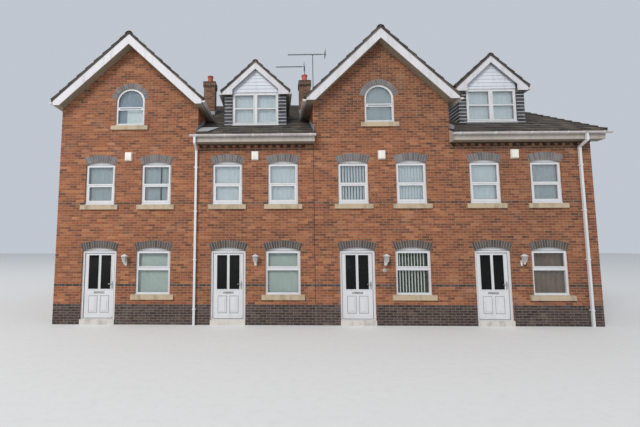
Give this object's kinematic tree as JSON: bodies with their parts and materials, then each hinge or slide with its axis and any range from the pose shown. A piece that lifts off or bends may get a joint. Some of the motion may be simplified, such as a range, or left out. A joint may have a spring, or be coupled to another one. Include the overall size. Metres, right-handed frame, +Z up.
{
  "type": "terraced house row",
  "caption": "Row of four terraced brick houses with front gables, roof dormers, chimneys and opening front doors.",
  "frame": {"origin": "middle of the row's ground plan, at ground level", "axes": "+X along the row to the right as seen from the street, +Y from the front into the building, +Z up"},
  "size_m": [16.84, 12.532, 10.52],
  "materials": {
    "red_brick": "rough",
    "blue_brick": "rough",
    "stone": "rough",
    "concrete": "rough",
    "timber": "matt",
    "white_upvc": "satin",
    "cream_upvc": "satin",
    "window_glass": "clear",
    "door_glass": "tinted",
    "handle_metal": "satin",
    "roof_tile": "rough",
    "hung_tile": "rough",
    "ridge_tile": "rough",
    "soffit_board": "satin",
    "lead": "matt",
    "terracotta": "rough",
    "aerial_metal": "dull",
    "shiplap": "satin",
    "alarm_box": "satin",
    "lantern": "satin"
  },
  "bodies": {
    "building": {"front_wall_lower": "red_brick", "front_walls_gabled": "red_brick", "front_walls_eaved": "red_brick", "end_walls": "red_brick", "rear_wall_lower": "red_brick", "rear_wall_upper": "red_brick", "party_walls": "red_brick", "ground_floor": "concrete", "first_floor": "timber", "attic_floor": "timber", "thresholds": "stone", "brick_arches": "blue_brick", "window_sills": "stone", "arch_panels": "white_upvc", "ground_window_frames": "white_upvc", "first_window_frames": "white_upvc", "gable_window_frames": "white_upvc", "dormer_window_frames": "white_upvc", "window_glass": "window_glass", "roof_window_glass": "window_glass", "door_frames": "white_upvc", "door_hinges": "handle_metal", "main_roof_front": "roof_tile", "main_roof_behind_gables": "roof_tile", "main_roof_rear": "roof_tile", "gable_roofs_left": "roof_tile", "gable_roofs_right": "roof_tile", "dormer_roofs_left": "roof_tile", "dormer_roofs_right": "roof_tile", "ridge_tiles": "ridge_tile", "bargeboards": "white_upvc", "fascias": "cream_upvc", "soffits": "soffit_board", "gutters": "white_upvc", "downpipes": "white_upvc", "dormer_walls": "timber", "dormer_tile_hanging": "hung_tile", "dormer_shiplap": "shiplap", "lead_flashings": "lead", "dentil_courses": "red_brick", "chimney_stacks": "red_brick", "chimney_pots": "terracotta", "tv_aerials": "aerial_metal", "bell_boxes": "alarm_box", "wall_lanterns": "lantern"},
    "door_1": {"door_1_leaf": "white_upvc", "door_1_glass": "door_glass", "door_1_furniture": "handle_metal"},
    "door_2": {"door_2_leaf": "white_upvc", "door_2_glass": "door_glass", "door_2_furniture": "handle_metal"},
    "door_3": {"door_3_leaf": "white_upvc", "door_3_glass": "door_glass", "door_3_furniture": "handle_metal"},
    "door_4": {"door_4_leaf": "white_upvc", "door_4_glass": "door_glass", "door_4_furniture": "handle_metal"}
  },
  "joints": [
    {"name": "door_1_hinge", "type": "hinge", "parent": "building", "child": "door_1", "pos_m": [-7.1765, -5.723, 1.15], "axis": [0, 0, 1], "range_deg": [0, 90]},
    {"name": "door_2_hinge", "type": "hinge", "parent": "building", "child": "door_2", "pos_m": [-3.2665, -5.723, 1.15], "axis": [0, 0, 1], "range_deg": [0, 90]},
    {"name": "door_3_hinge", "type": "hinge", "parent": "building", "child": "door_3", "pos_m": [0.5835, -5.723, 1.15], "axis": [0, 0, 1], "range_deg": [0, 90]},
    {"name": "door_4_hinge", "type": "hinge", "parent": "building", "child": "door_4", "pos_m": [4.5485, -5.723, 1.15], "axis": [0, 0, 1], "range_deg": [0, 90]}
  ]
}
